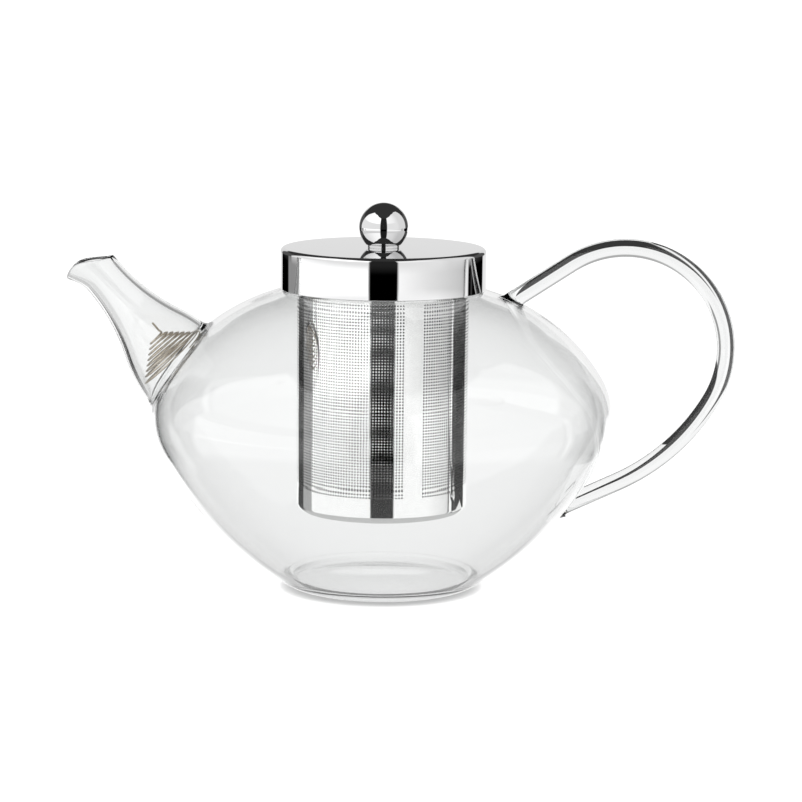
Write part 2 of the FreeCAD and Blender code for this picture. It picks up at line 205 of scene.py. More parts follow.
# brightnesses, and the shares in which they mix; the brightening is a factor and a limit
BRIGHTENING = (1.3, 1.2)
GREY = 0.6
EVENED_RANGE = (0.1, 1.0)
OVERHEAD = 0.04
CEILING = 0.4
BACKDROP = 0.96
SEEN_IN_GLASS = 0.5
GLASS_CONTRAST = 0.4
SEEN_THROUGH_BOWL = 0.2
# past this many glass faces, a ray has crossed one wall of the hollow bowl and met the next
BOWL_CROSSED = 2.5
DARK = 0.04
PLAIN_LIGHT = 1.5
BRIGHTEST = 2.0

# stage, in metres
TABLE = ((-8.0, -8.0), (8.0, -8.0), (8.0, 8.0), (-8.0, 8.0))
TABLE_HEIGHT = -0.0002
WHITE_CARD = ((0.082, 0.02), (0.145, 0.02), (0.145, 0.1), (0.082, 0.1))
CARD_HEIGHT = -0.0001
CONTACT_SHADOW = 0.003

CAMERA_PLACE = (0.0069, -1.1957, 0.2591)
CAMERA_TILT = 9.04
CAMERA_ROLL = 0.54
CAMERA_LENS = 148.1
CAMERA_SENSOR = 36.0
GLASS_BOUNCES = 28
MIRROR_BOUNCES = 12


def unit(degrees):
    """The (cosine, sine) of an angle in degrees."""
    return math.cos(math.radians(degrees)), math.sin(math.radians(degrees))


def new_piece(name, points, faces, material, body, nodes=(), normals=None):
    """A smooth mesh piece from points in millimetres, riding on a body and standing for CAD nodes."""
    mesh = bpy.data.meshes.new(name)
    mesh.from_pydata((np.asarray(points) * MM).tolist(), [], faces)
    mesh.shade_smooth()
    if normals is not None:
        mesh.normals_split_custom_set_from_vertices(np.asarray(normals).tolist())
    mesh.materials.append(material)
    piece = bpy.data.objects.new(name, mesh)
    bpy.context.scene.collection.objects.link(piece)
    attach(piece, body)
    if nodes:
        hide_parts(*nodes)
    return piece


# ---------------------------------------------------------------- turned shapes


def arc_points(centre, radius, start, end, step=6.0):
    """Points along an arc in the (radius, height) plane, its angles in degrees."""
    count = max(2, math.ceil(abs(end - start) / step))
    angles = np.radians(np.linspace(start, end, count + 1))
    return np.column_stack([centre[0] + radius * np.cos(angles), centre[1] + radius * np.sin(angles)])


def rounded(corners, radii, step=15.0):
    """A closed outline with each corner rounded by its own radius."""
    outline = []
    count = len(corners)
    for number, radius in enumerate(radii):
        corner = np.array(corners[number], float)
        before = np.array(corners[number - 1], float) - corner
        after = np.array(corners[(number + 1) % count], float) - corner
        if radius == 0.0:
            outline.append(corner)
            continue
        before = before / np.linalg.norm(before)
        after = after / np.linalg.norm(after)
        half = math.acos(np.clip(before @ after, -1, 1)) / 2
        bisector = (before + after) / np.linalg.norm(before + after)
        centre = corner + bisector * radius / math.sin(half)
        first = corner + before * radius / math.tan(half) - centre
        last = corner + after * radius / math.tan(half) - centre
        steps = max(3, math.ceil((180 - 2 * math.degrees(half)) / step))
        for share in np.linspace(0, 1, steps + 1):
            spoke = first * (1 - share) + last * share
            outline.append(centre + spoke / np.linalg.norm(spoke) * radius)
    return np.array(outline)


def turned(name, outline, material, body, nodes=(), columns=TURNED_COLUMNS):
    """A solid of revolution from a closed (radius, height) outline, anticlockwise as drawn."""
    angles = np.linspace(0, 2 * math.pi, columns, endpoint=False)
    rows = len(outline)
    radii = np.maximum(outline[:, 0], HUB_RADIUS)
    x = radii[:, None] * np.cos(angles)
    y = radii[:, None] * np.sin(angles)
    z = np.repeat(outline[:, 1][:, None], columns, axis=1)
    points = np.stack([x, y, z], axis=-1).reshape(-1, 3)
    faces = []
    for row in range(rows):
        above = (row + 1) % rows
        if outline[row, 0] <= 0.0 and outline[above, 0] <= 0.0:
            continue
        for column in range(columns):
            beside = (column + 1) % columns
            faces.append((row * columns + column, row * columns + beside,
                          above * columns + beside, above * columns + column))
    piece = new_piece(name, points, faces, material, body, nodes)
    piece.data.set_sharp_from_angle(angle=math.radians(SHARP_FROM))
    return piece


# ---------------------------------------------------------------- blown glass


def bowl_side(inset):
    """(radius, height) points up one face of the bowl's wall, from the edge of the foot to the neck."""
    heading = 0.0
    point = np.array([FOOT_RADIUS, inset])
    points = [point]
    for radius, turn in BOWL_ARCS:
        radius = radius - inset
        centre = point + radius * np.array(unit(heading + 90))
        steps = max(math.ceil(radius * math.radians(turn) / ROW_SPACING), math.ceil(turn / 5))
        points.extend(arc_points(centre, radius, heading - 90, heading + turn - 90, turn / steps)[1:])
        heading += turn
        point = points[-1]
    radius = NECK_FILLET + inset
    ahead = np.array(unit(heading))
    start_r = NECK_RADIUS - inset + radius * (1 - ahead[1])
    start = point + ahead * (point[0] - start_r) / -ahead[0]
    count = math.ceil(np.linalg.norm(start - point) / ROW_SPACING)
    points.extend(point + (start - point) * share for share in np.linspace(0, 1, count + 1)[1:])
    centre = start + radius * np.array(unit(heading - 90))
    points.extend(arc_points(centre, radius, heading + 90, 180)[1:])
    top = np.array([NECK_RADIUS - inset, NECK_TOP - BOWL_WALL / 2])
    count = math.ceil((top[1] - points[-1][1]) / ROW_SPACING)
    points.extend(points[-1] + (top - points[-1]) * share for share in np.linspace(0, 1, count + 1)[1:])
    return np.array(points)


def bowl_outline():
    """The glass section, from the middle of the foot up the outside, over the rim and down inside."""
    outer = bowl_side(0.0)
    inner = bowl_side(BOWL_WALL)
    half = BOWL_WALL / 2
    rim = arc_points((NECK_RADIUS - half, NECK_TOP - half), half, 0, 180, 18.0)
    disc = np.linspace(FOOT_HUB, FOOT_RADIUS, FOOT_ROWS + 1)[:-1]
    pushed_up = FOOT_PUSH * (1 + np.cos(math.pi * disc / FOOT_RADIUS)) / 2
    foot = np.column_stack([disc, pushed_up])
    floor = np.column_stack([disc, pushed_up + BOWL_WALL])[::-1]
    heel = inner[:, 1] < HEEL_TOP
    from_ridge = (inner[heel, 0] - HEEL_RIDGE_RADIUS) / HEEL_RIDGE_WIDTH
    inner[heel, 1] += HEEL_RIDGE * np.exp(-from_ridge ** 2)
    outline = np.vstack([foot, outer, rim[1:-1], inner[::-1], floor])
    outer_rows = (len(foot), len(foot) + len(outer) - 1)
    inner_rows = (len(outline) - len(floor) - len(inner), len(outline) - len(floor) - 1)
    return outline, outer_rows, inner_rows


class Skin:
    """One face of the bowl: its radius at a height, and the place of a point along the outline."""

    def __init__(self, outline, rows):
        steps = np.linalg.norm(np.diff(outline, axis=0), axis=1)
        self.along = np.concatenate([[0.0], np.cumsum(steps)])
        self.first, self.last = rows
        self.part = outline[self.first:self.last + 1]
        self.part_along = self.along[self.first:self.last + 1]
        if self.part[0, 1] > self.part[-1, 1]:
            self.part = self.part[::-1]
            self.part_along = self.part_along[::-1]

    def radius(self, height):
        return np.interp(height, self.part[:, 1], self.part[:, 0])

    def place(self, height):
        return np.interp(height, self.part[:, 1], self.part_along)

    def outside(self, points):
        return np.hypot(points[:, 0], points[:, 1]) - self.radius(points[:, 2])


def tube_points(origin, axis, side, reach, radius, turns):
    """Points round an axis that lies in the XZ plane: reach along it, radius from it."""
    across = np.cos(turns)[:, None] * side + np.sin(turns)[:, None] * np.array([0.0, 1.0, 0.0])
    return origin + np.asarray(reach)[:, None] * axis + np.asarray(radius)[:, None] * across


def reach_to_skin(skin, origin, axis, side, radius_at, turns, span):
    """How far along its axis each line of a tube comes out through the skin, by halving the span."""
    low = np.full(len(turns), span[0])
    high = np.full(len(turns), span[1])
    for _ in range(HALVINGS):
        middle = (low + high) / 2
        out = skin.outside(tube_points(origin, axis, side, middle, radius_at(middle), turns)) > 0
        high = np.where(out, middle, high)
        low = np.where(out, low, middle)
    return (low + high) / 2


def root_rows(skin, origin, axis, side, radius_at, turns, fillet, span, rows):
    """A branch's root: rows of points from its ring on the skin, round the melted fillet and up."""
    flare, rise = fillet

    def ring_radius(reach):
        return radius_at(reach) + flare

    ring_reach = reach_to_skin(skin, origin, axis, side, ring_radius, turns, span)
    ring = tube_points(origin, axis, side, ring_reach, ring_radius(ring_reach), turns)
    crease_reach = reach_to_skin(skin, origin, axis, side, radius_at, turns, span)
    crease = tube_points(origin, axis, side, crease_reach, radius_at(crease_reach), turns)
    top_reach = crease_reach + rise
    top = tube_points(origin, axis, side, top_reach, radius_at(top_reach), turns)
    made = []
    for share in np.linspace(0, 1, rows + 1):
        made.append((1 - share) ** 2 * ring + 2 * share * (1 - share) * crease + share ** 2 * top)
    return made, top_reach


def spout_radius(inset):
    """The spout's radius along its axis: a swelling root arc, then a hollow throat arc."""
    cosine, sine = unit(SPOUT_TAPER_TURN)
    root_arc = SPOUT_ROOT_ARC - inset
    throat_arc = SPOUT_THROAT_ARC + inset
    root_centre = SPOUT_ROOT_RADIUS - inset - root_arc
    throat_centre = root_centre + cosine * (root_arc + throat_arc)
    throat_reach = sine * (root_arc + throat_arc)
    change = sine * root_arc

    def radius_at(reach):
        reach = np.clip(reach, 0.0, throat_reach)
        swelling = root_centre + np.sqrt(root_arc ** 2 - np.minimum(reach, change) ** 2)
        hollow = throat_centre - np.sqrt(throat_arc ** 2 - (reach - throat_reach) ** 2)
        return np.where(reach < change, swelling, hollow)

    return radius_at, throat_reach


def spout_frame():
    """The spout's axis and the direction across it that points up."""
    cosine, sine = unit(SPOUT_SLANT)
    return np.array([-sine, 0.0, cosine]), np.array([cosine, 0.0, sine])


def spout_side(skin, inset, turns, fillet, edge):
    """Rows of one face of the spout, from its ring on the bowl to its edge of the drooping lip."""
    axis, side = spout_frame()
    radius_at, throat_reach = spout_radius(inset)
    rows, top_reach = root_rows(skin, SPOUT_ROOT, axis, side, radius_at, turns,
                                fillet, SPOUT_ROOT_SPAN, SPOUT_FILLET_ROWS)
    for share in np.linspace(0, 1, SPOUT_ROWS + 1)[1:]:
        reach = top_reach + (throat_reach - top_reach) * share
        rows.append(tube_points(SPOUT_ROOT, axis, side, reach, radius_at(reach), turns))
    throat = radius_at(np.array([throat_reach]))[0]
    half_length, half_width, lift = edge
    lean = math.radians(SPOUT_SLANT - SPOUT_RIM_SLANT)
    rim_axis = math.cos(lean) * axis + math.sin(lean) * side
    rim_centre = SPOUT_ROOT + SPOUT_RIM_REACH * axis - SPOUT_LIP_DROP * side - rim_axis * SPOUT_WALL / 2
    start = SPOUT_ROOT + throat_reach * axis
    ahead = (rim_centre - start) @ axis
    drop = (rim_centre - start) @ side
    along, over = np.cos(turns)[:, None], np.sin(turns)[:, None]
    arch = SPOUT_LIP_ARCH * over ** 2 * (1 - SPOUT_LIP_SKEW * along) + lift * (1 - along) / 2
    for share in np.linspace(0, 1, LIP_ROWS + 1)[1:]:
        flared = share ** 2
        tilt = lean * share
        long_axis = math.cos(tilt) * side - math.sin(tilt) * axis
        length = throat + (half_length - throat) * flared
        width = throat + (half_width - throat) * flared
        centre = start + axis * ahead * share + side * drop * flared
        ring = centre + along * long_axis * length + over * np.array([0.0, width, 0.0])
        rows.append(ring + arch * flared * rim_axis)
    return rows, rim_axis


def spout_rows(outer_skin, inner_skin):
    """The spout's glass: up its outside, over the rounded lip and back down its bore."""
    turns = np.linspace(0, 2 * math.pi, SPOUT_COLUMNS, endpoint=False)
    outside, rim_axis = spout_side(outer_skin, 0.0, turns, SPOUT_FILLETS[0], SPOUT_EDGES[0])
    inside, _ = spout_side(inner_skin, SPOUT_WALL, turns, SPOUT_FILLETS[1], SPOUT_EDGES[1])
    middle = (outside[-1] + inside[-1]) / 2
    lip = []
    for angle in np.linspace(0, math.pi, LIP_EDGE_ROWS + 2)[1:-1]:
        lift = rim_axis * SPOUT_WALL / 2 * math.sin(angle)
        lip.append(middle + (outside[-1] - middle) * math.cos(angle) + lift)
    return outside + lip + inside[::-1]


def handle_path():
    """The rod's centre line, from the top down, as (point, heading) pairs, and its two ends."""
    first = 90 + HANDLE_UPPER_SLOPE
    last = -HANDLE_CROWN_END
    end = -(90 - HANDLE_LOWER_SLOPE)
    cosine, sine = unit(last)
    lower_centre = HANDLE_CROWN + np.array([cosine, 0.0, sine]) * (HANDLE_CROWN_ARC - HANDLE_LOWER_ARC)
    path = []
    for centre, radius, start, stop in ((HANDLE_CROWN, HANDLE_CROWN_ARC, first, last),
                                        (lower_centre, HANDLE_LOWER_ARC, last, end)):
        count = math.ceil(radius * math.radians(start - stop) / ROW_SPACING)
        angles = np.linspace(start, stop, count + 1)
        for angle in angles[1:] if path else angles:
            cosine, sine = unit(angle)
            point = centre + radius * np.array([cosine, 0.0, sine])
            path.append((point, np.array([sine, 0.0, -cosine])))
    upper_end = path[0][0] - path[0][1] * HANDLE_UPPER_RUN
    lower_end = path[-1][0] + path[-1][1] * HANDLE_LOWER_RUN
    return path, upper_end, lower_end


def across(heading):
    """The in-plane direction across a line in the XZ plane that keeps a tube's faces outward."""
    return np.array([heading[2], 0.0, -heading[0]])


def handle_rows(skin):
    """The solid rod, fused to the shoulder at one end and to the flank at the other."""
    turns = np.linspace(0, 2 * math.pi, HANDLE_COLUMNS, endpoint=False)
    path, upper_end, lower_end = handle_path()

    def rod(reach):
        return np.full(np.shape(reach), HANDLE_RADIUS)

    def root(end, axis, side, run):
        made, top = root_rows(skin, end, axis, side, rod, turns,
                              HANDLE_FILLET, HANDLE_ROOT_SPAN, HANDLE_FILLET_ROWS)
        for share in np.linspace(0, 1, HANDLE_RUN_ROWS + 2)[1:-1]:
            made.append(tube_points(end, axis, side, top + (run - top) * share, rod(top), turns))
        return made

    start, finish = path[0][1], path[-1][1]
    rows = root(upper_end, start, across(start), HANDLE_UPPER_RUN)
    flat = np.zeros(len(turns))
    for point, heading in path:
        rows.append(tube_points(point, heading, across(heading), flat, rod(turns), turns))
    rows.extend(root(lower_end, -finish, across(finish), HANDLE_LOWER_RUN)[::-1])
    return rows


def inside_ring(ring, spots):
    """Which flat spots lie inside a closed ring of flat points."""
    inside = np.zeros(len(spots), bool)
    for start, end in zip(ring, np.roll(ring, -1, axis=0)):
        crosses = (start[1] > spots[:, 1]) != (end[1] > spots[:, 1])
        slope = (end[0] - start[0]) / (end[1] - start[1] + 1e-12)
        inside ^= crosses & (spots[:, 0] < start[0] + (spots[:, 1] - start[1]) * slope)
    return inside


def border_edges(rows, width, corner):
    """The edges round a rectangle of grid points, rows of them by width."""
    edges = []
    last_row = (rows - 1) * width
    for number in range(width - 1):
        edges.append((corner[number], corner[number + 1]))
        edges.append((corner[last_row + number], corner[last_row + number + 1]))
    for number in range(rows - 1):
        edges.append((corner[number * width], corner[(number + 1) * width]))
        edges.append((corner[number * width + width - 1], corner[(number + 2) * width - 1]))
    return edges


def open_ring(skin, ring_points, ring_index, open_cells, faces):
    """Cut a branch's ring out of the bowl's grid and stitch the grid to it with small triangles."""
    columns = BOWL_COLUMNS
    turn = np.unwrap(np.arctan2(ring_points[:, 1], ring_points[:, 0]))
    along = skin.place(ring_points[:, 2])
    step = 2 * math.pi / columns
    left = math.floor(turn.min() / step) - RING_COLUMNS
    right = math.ceil(turn.max() / step) + RING_COLUMNS
    rows = [row for row in range(skin.first, skin.last + 1)
            if along.min() - RING_MARGIN <= skin.along[row] <= along.max() + RING_MARGIN]
    scale = np.hypot(ring_points[:, 0], ring_points[:, 1]).mean()
    ring = np.column_stack([turn * scale, along])
    cells = [(row, column) for row in rows for column in range(left, right + 1)]
    grid = np.array([(column * step * scale, skin.along[row]) for row, column in cells])
    index = np.array([row * columns + column % columns for row, column in cells])
    nearest = np.min(np.linalg.norm(grid[:, None] - ring[None], axis=2), axis=1)
    width = right - left + 1
    border = np.zeros((len(rows), width), bool)
    border[[0, -1], :] = True
    border[:, [0, -1]] = True
    kept = (~inside_ring(ring, grid) & (nearest > RING_CLEARANCE)) | border.ravel()
    spots = np.vstack([ring, grid[kept]])
    names = np.concatenate([ring_index, index[kept]])
    count = len(ring)
    edges = [(number, (number + 1) % count) for number in range(count)]
    corner = {old: new + count for new, old in enumerate(np.flatnonzero(kept))}
    edges.extend(border_edges(len(rows), width, corner))
    flat = delaunay_2d_cdt([Vector(spot) for spot in spots], edges, [], 0, 1e-6)
    came_from = [origins[0] for origins in flat[3]]
    triangles = np.array([[came_from[corner] for corner in face] for face in flat[2]])
    centres = spots[triangles].mean(axis=1)
    for triangle in triangles[~inside_ring(ring, centres)]:
        faces.append(tuple(int(name) for name in names[triangle]))
    for row in rows[:-1]:
        for column in range(left, right):
            open_cells.add((row, column % columns))


def strip_faces(rows_index, faces):
    """Quads between each row of point numbers and the next."""
    for lower, upper in zip(rows_index[:-1], rows_index[1:]):
        for one, other, above, beyond in zip(lower, np.roll(lower, -1), np.roll(upper, -1), upper):
            faces.append((int(one), int(other), int(above), int(beyond)))


def glass_vessel(material):
    """Bowl, neck, spout and handle as the one fused piece of glass that they are."""
    outline, outer_rows, inner_rows = bowl_outline()
    outer_skin = Skin(outline, outer_rows)
    inner_skin = Skin(outline, inner_rows)
    columns = BOWL_COLUMNS
    angles = np.linspace(0, 2 * math.pi, columns, endpoint=False)
    grid = np.stack([outline[:, :1] * np.cos(angles), outline[:, :1] * np.sin(angles),
                     np.repeat(outline[:, 1:], columns, axis=1)], axis=-1).reshape(-1, 3)
    points = [grid]
    faces = []
    open_cells = set()
    total = len(grid)
    for rows, first_skin, last_skin in ((spout_rows(outer_skin, inner_skin), outer_skin, inner_skin),
                                        (handle_rows(outer_skin), outer_skin, outer_skin)):
        numbers = [total + row * len(rows[0]) + np.arange(len(rows[0])) for row in range(len(rows))]
        total += len(rows) * len(rows[0])
        points.extend(rows)
        strip_faces(numbers, faces)
        open_ring(first_skin, rows[0], numbers[0], open_cells, faces)
        open_ring(last_skin, rows[-1], numbers[-1], open_cells, faces)
    for row in range(len(outline) - 1):
        for column in range(columns):
            if (row, column) not in open_cells:
                beside = (column + 1) % columns
                faces.append((row * columns + column, row * columns + beside,
                              (row + 1) * columns + beside, (row + 1) * columns + column))
    faces.append(tuple(range(columns))[::-1])
    faces.append(tuple((len(outline) - 1) * columns + column for column in range(columns)))
    return new_piece("glass_vessel", np.vstack(points), faces, material, "pot",
                     ("glass_bowl", "glass_neck", "glass_spout", "glass_handle"))


# ---------------------------------------------------------------- spout strainer


def wire_line():
    """The wire's centre line: an anchoring turn against the glass, the cone of turns and a tail."""
    axis, side = spout_frame()
    points = []
    for turn in np.arange(-ANCHOR_TURNS, WIRE_TURNS + 0.001, 1 / WIRE_STEPS):
        if turn < 0:
            reach = WIRE_REACH + ANCHOR_PITCH * turn
            radius = WIRE_BASE + ANCHOR_FLARE * min(1.0, -2 * turn)
        else:
            reach = WIRE_REACH + WIRE_PITCH * turn
            radius = WIRE_BASE - WIRE_PITCH * turn * math.tan(math.radians(WIRE_CONE_ANGLE))
        angle = np.array([2 * math.pi * turn])
        points.append(tube_points(SPOUT_ROOT, axis, side, [reach], [radius], angle)[0])
    points.append(points[-1] + axis * TAIL_BEND[0] + side * TAIL_BEND[1])
    points.append(points[-1] + axis * TAIL_LENGTH)
    return points


def wire_strainer(material):
    """The sprung wire strainer in the root of the spout."""
    points = wire_line()
    curve = bpy.data.curves.new("strainer_wire", "CURVE")
    curve.dimensions = "3D"
    spline = curve.splines.new("POLY")
    spline.points.add(len(points) - 1)
    for spot, point in zip(spline.points, points):
        spot.co = (*(point * MM), 1.0)
    curve.bevel_depth = WIRE_RADIUS * MM
    curve.bevel_resolution = 4
    curve.use_fill_caps = True
    curve.materials.append(material)
    wire = bpy.data.objects.new("strainer_wire", curve)
    bpy.context.scene.collection.objects.link(wire)
    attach(wire, "strainer")
    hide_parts("spout_strainer")


# ---------------------------------------------------------------- infuser


def wall_points(radius, angles, heights):
    """Points on an upright cylinder."""
    return np.stack([radius * np.cos(angles), radius * np.sin(angles), heights], axis=-1)


def sector_edges(number):
    """The angles of a sector's columns, the last sector's running on over the plain seam."""
    start = math.radians(SEAM_ANGLE + SEAM_WIDTH / 2) + number * SECTOR_HOLES * HOLE_STEP
    edges = start + HOLE_STEP * np.arange(SECTOR_HOLES + 1)
    seam_steps = SEAM_STEPS if number == SHEET_SECTORS - 1 else 0
    seam = edges[-1] + math.radians(SEAM_WIDTH / SEAM_STEPS) * np.arange(1, seam_steps + 1)
    return np.concatenate([edges, seam])


def sector_points(edges):
    """A sector's points and normals, and the number at which each kind of point starts on each side."""
    levels = HOLES_FROM + HOLE_PITCH * np.arange(HOLE_ROWS + 1)
    middles = edges[:SECTOR_HOLES] + HOLE_STEP / 2
    angles, heights = np.meshgrid(edges, levels)
    middle_angles, middle_heights = np.meshgrid(middles, levels[:-1] + HOLE_PITCH / 2)
    spokes = np.radians(22.5 + 45 * np.arange(HOLE_CORNERS))
    hole_angles = middle_angles[..., None] + HOLE_RADIUS * np.cos(spokes) / SHEET_RADIUS
    hole_heights = middle_heights[..., None] + HOLE_RADIUS * np.sin(spokes)
    sideways = np.stack([-np.sin(hole_angles), np.cos(hole_angles), np.zeros(hole_angles.shape)], axis=-1)
    upward = np.array([0.0, 0.0, 1.0])
    into_hole = -sideways * np.cos(spokes)[:, None] - upward * np.sin(spokes)[:, None]
    points, normals, first = [], [], {}
    total = 0
    for side, radius in ((1, SHEET_RADIUS), (-1, SHEET_RADIUS - SHEET_WALL)):
        facing = side * wall_points(1.0, angles, np.zeros(angles.shape))
        rim_facing = side * wall_points(1.0, hole_angles, np.zeros(hole_angles.shape))
        for kind, around, up, normal in (("corner", angles, heights, facing),
                                         ("hole", hole_angles, hole_heights, rim_facing),
                                         ("bore", hole_angles, hole_heights, into_hole)):
            first[kind, side] = total
            total += around.size
            points.append(wall_points(radius, around, up).reshape(-1, 3))
            normals.append(normal.reshape(-1, 3))
    return np.vstack(points), np.vstack(normals), first


def holed_cell(around, hole, side):
    """Four faces that fill a square cell round its hole."""
    faces = []
    for quarter in range(4):
        last = (7 + 2 * quarter) % HOLE_CORNERS
        face = (around[quarter], around[(quarter + 1) % 4],
                hole + last, hole + (last - 1) % HOLE_CORNERS, hole + (last - 2) % HOLE_CORNERS)
        faces.append(face[::side])
    return faces


def hole_wall(out, back):
    """The faces of one hole's wall, between its rings on the sheet's two sides."""
    faces = []
    for spoke in range(HOLE_CORNERS):
        beside = (spoke + 1) % HOLE_CORNERS
        faces.append((out + spoke, out + beside, back + beside, back + spoke))
    return faces


def sector_faces(columns, first):
    """The faces of a sector's outer side, and those of its inner side and its holes' walls."""
    faces = {1: [], -1: []}
    for row in range(HOLE_ROWS):
        for column in range(columns - 1):
            low = row * columns + column
            corners = (low, low + 1, low + columns + 1, low + columns)
            hole = (row * SECTOR_HOLES + column) * HOLE_CORNERS
            for side in (1, -1):
                around = [first["corner", side] + corner for corner in corners]
                if column < SECTOR_HOLES:
                    faces[side].extend(holed_cell(around, first["hole", side] + hole, side))
                else:
                    faces[side].append(tuple(around[::side]))
            if column < SECTOR_HOLES:
                faces[-1].extend(hole_wall(first["bore", 1] + hole, first["bore", -1] + hole))
    return faces[1], faces[-1]


def etched_sector(number, bright, painted_shade_steel):
    """A quarter of the infuser's sheet, each of its holes a real hole through the steel."""
    edges = sector_edges(number)
    points, normals, first = sector_points(edges)
    outer, inner = sector_faces(len(edges), first)
    sheet = new_piece(f"infuser_sheet_{number + 1}", points, outer + inner, bright,
                      "infuser", ("infuser_wall",), normals)
    sheet.data.materials.append(painted_shade_steel)
    # the inner side and the holes' walls take the darker second material: painted shade
    for face in sheet.data.polygons[len(outer):]:
        face.material_index = 1


def infuser(material, painted_shade_steel):
    """The etched sheet, the pan pressed into its bottom and the flange it hangs from."""
    for number in range(SHEET_SECTORS):
        etched_sector(number, material, painted_shade_steel)
    inner = SHEET_RADIUS - SHEET_WALL
    pan_floor = PAN_BOTTOM + SHEET_WALL
    pan = rounded([(0.0, PAN_BOTTOM), (SHEET_RADIUS, PAN_BOTTOM), (SHEET_RADIUS, HOLES_FROM),
                   (inner, HOLES_FROM), (inner, pan_floor), (0.0, pan_floor)],
                  [0.0, PAN_CORNER, 0.0, 0.0, PAN_CORNER - SHEET_WALL, 0.0], 8.0)
    turned("infuser_pan", pan, material, "infuser", ("infuser_base",))
    sheet_top = HOLES_FROM + HOLE_ROWS * HOLE_PITCH
    flange_top = NECK_TOP + FLANGE_WALL
    flange = rounded([(inner, sheet_top), (SHEET_RADIUS, sheet_top), (SHEET_RADIUS, NECK_TOP),
                      (FLANGE_RADIUS, NECK_TOP), (FLANGE_RADIUS, flange_top), (inner, flange_top)],
                     [0.0, 0.0, 0.0, 0.3, 0.3, 0.7])
    turned("infuser_flange", flange, material, "infuser", ("infuser_rim",))


# ---------------------------------------------------------------- lid


def lid(polished, plain):
    """The drawn shell and the cup inside it that centres it in the infuser."""
    ceiling = LID_TOP - LID_WALL
    inside = LID_RADIUS - LID_WALL
    shell = rounded([(BORE_RADIUS, ceiling), (inside, ceiling), (inside, LID_BOTTOM),
                     (LID_RADIUS, LID_BOTTOM), (LID_RADIUS, LID_TOP), (BORE_RADIUS, LID_TOP)],
                    [0.0, LID_EDGE - LID_WALL, 0.3, 0.3, LID_EDGE, 0.0], 5.0)
    turned("lid_drum", shell, polished, "lid", ("lid_shell",))
    within = CUP_RADIUS - CUP_WALL
    cup = rounded([(0.0, CUP_BOTTOM), (CUP_RADIUS, CUP_BOTTOM), (CUP_RADIUS, ceiling),
                   (CUP_MOUTH, ceiling), (CUP_MOUTH, ceiling - CUP_WALL), (within, ceiling - CUP_WALL),
                   (within, CUP_BOTTOM + CUP_WALL), (0.0, CUP_BOTTOM + CUP_WALL)],
                  [0.0, 1.4, 0.4, 0.0, 0.0, 0.0, 0.9, 0.0])
    turned("lid_inner_cup", cup, plain, "lid", ("lid_cup",))


def seal(silicone):
    """The lipped ring round the lid's cup, on which the lid turns."""
    grip = CUP_RADIUS + SEAL_CLEARANCE
    radii = (grip, SEAL_RADIUS, SEAL_RADIUS, grip)
    ring = rounded(list(zip(radii, SEAL_LEVELS)), [0.2, 0.3, 0.3, 0.2])
    turned("seal_ring", ring, silicone, "seal", ("lid_seal",))


def knob(polished, plain):
    """The ball on its collar, and the washer and screw that hold them to the lid."""
    seat = LID_TOP + COLLAR_HEIGHT
    foot_angle = math.degrees(math.asin((seat - BALL_CENTRE) / BALL_RADIUS))
    ball = np.vstack([arc_points((0.0, BALL_CENTRE), BALL_RADIUS, foot_angle, 90, 2.0)[:-1],
                      [(0.0, BALL_CENTRE + BALL_RADIUS), (0.0, BALL_BORE_TOP),
                       (BORE_RADIUS, BALL_BORE_TOP), (BORE_RADIUS, seat)]])
    turned("ball_knob", ball, polished, "lid", ("knob_ball",))
    collar = rounded([(BORE_RADIUS, LID_TOP), (COLLAR_RADIUS, LID_TOP),
                      (COLLAR_RADIUS, seat), (BORE_RADIUS, seat)], [0.0, 0.1, 0.3, 0.0])
    turned("ball_collar", collar, polished, "lid", ("knob_collar",))
    ceiling = LID_TOP - LID_WALL
    under = ceiling - WASHER_WALL
    washer = rounded([(BORE_RADIUS, under), (WASHER_RADIUS, under),
                      (WASHER_RADIUS, ceiling), (BORE_RADIUS, ceiling)], [0.0, 0.2, 0.2, 0.0])
    turned("fixing_washer", washer, plain, "lid", ("knob_washer",), SMALL_COLUMNS)
    head = under - HEAD_HEIGHT
    screw = rounded([(0.0, head), (HEAD_RADIUS, head), (HEAD_RADIUS, under),
                     (SCREW_RADIUS, under), (SCREW_RADIUS, SCREW_TOP), (0.0, SCREW_TOP)],
                    [0.0, 0.9, 0.1, 0.0, 0.3, 0.0])
    turned("fixing_screw", screw, plain, "lid", ("knob_screw",), SMALL_COLUMNS)


# ---------------------------------------------------------------- materials


def surface(name, **settings):
    """A new material, its node tree and its main shader with these settings."""
    material = bpy.data.materials.new(name)
    material.use_nodes = True
    tree = material.node_tree
    shader = tree.nodes["Principled BSDF"]
    for label, value in settings.items():
        shader.inputs[label.replace("_", " ")].default_value = value
    return material, tree, shader


def noise(tree, scale, detail=2.0):
    """Noise in the object's own space, in cells per metre."""
    place = tree.nodes.new("ShaderNodeTexCoord")
    texture = tree.nodes.new("ShaderNodeTexNoise")
    texture.inputs["Scale"].default_value = scale
    texture.inputs["Detail"].default_value = detail
    tree.links.new(place.outputs["Object"], texture.inputs["Vector"])
    return texture


def between(tree, texture, target, low, high):
    """Drive a socket from noise, between two values."""
    spread = tree.nodes.new("ShaderNodeMapRange")
    spread.inputs["From Min"].default_value = 0.3
    spread.inputs["From Max"].default_value = 0.7
    spread.inputs["To Min"].default_value = low
    spread.inputs["To Max"].default_value = high
    tree.links.new(texture.outputs["Fac"], spread.inputs["Value"])
    tree.links.new(spread.outputs["Result"], target)


def tint(tree, texture, target, one, other):
    """Drive a colour socket from noise, between two colours."""
    mix = tree.nodes.new("ShaderNodeMix")
    mix.data_type = "RGBA"
    mix.inputs["A"].default_value = (*one, 1.0)
    mix.inputs["B"].default_value = (*other, 1.0)
    tree.links.new(texture.outputs["Fac"], mix.inputs["Factor"])
    tree.links.new(mix.outputs["Result"], target)


